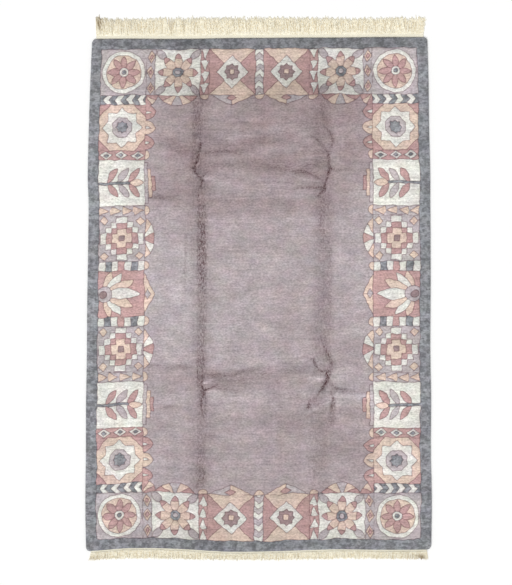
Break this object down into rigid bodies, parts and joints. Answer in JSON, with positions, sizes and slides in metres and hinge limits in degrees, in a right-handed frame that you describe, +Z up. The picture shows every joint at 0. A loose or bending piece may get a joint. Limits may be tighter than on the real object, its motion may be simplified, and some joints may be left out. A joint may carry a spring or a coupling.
{
  "type": "hand-knotted wool rug",
  "caption": "Rectangular hand-knotted wool rug with a plain outer band, a patterned border, a plain field and a warp fringe at each end, lying flat on the floor.",
  "frame": {"origin": "on the floor, under the middle of the whole rug, fringes included", "axes": "+Z up from the floor, +Y along the rug towards the end with the longer fringe, +X across the rug, to the right as seen from above"},
  "size_m": [2.0301, 3.1878, 0.014],
  "materials": {
    "wool_pile": "clipped wool pile, matt with a soft sheen, slightly faded",
    "warp_yarn": "natural cream cotton yarn, matt"
  },
  "bodies": {
    "root": {"rug_body": "wool_pile", "fringe_top": "warp_yarn", "fringe_bottom": "warp_yarn"}
  },
  "joints": []
}
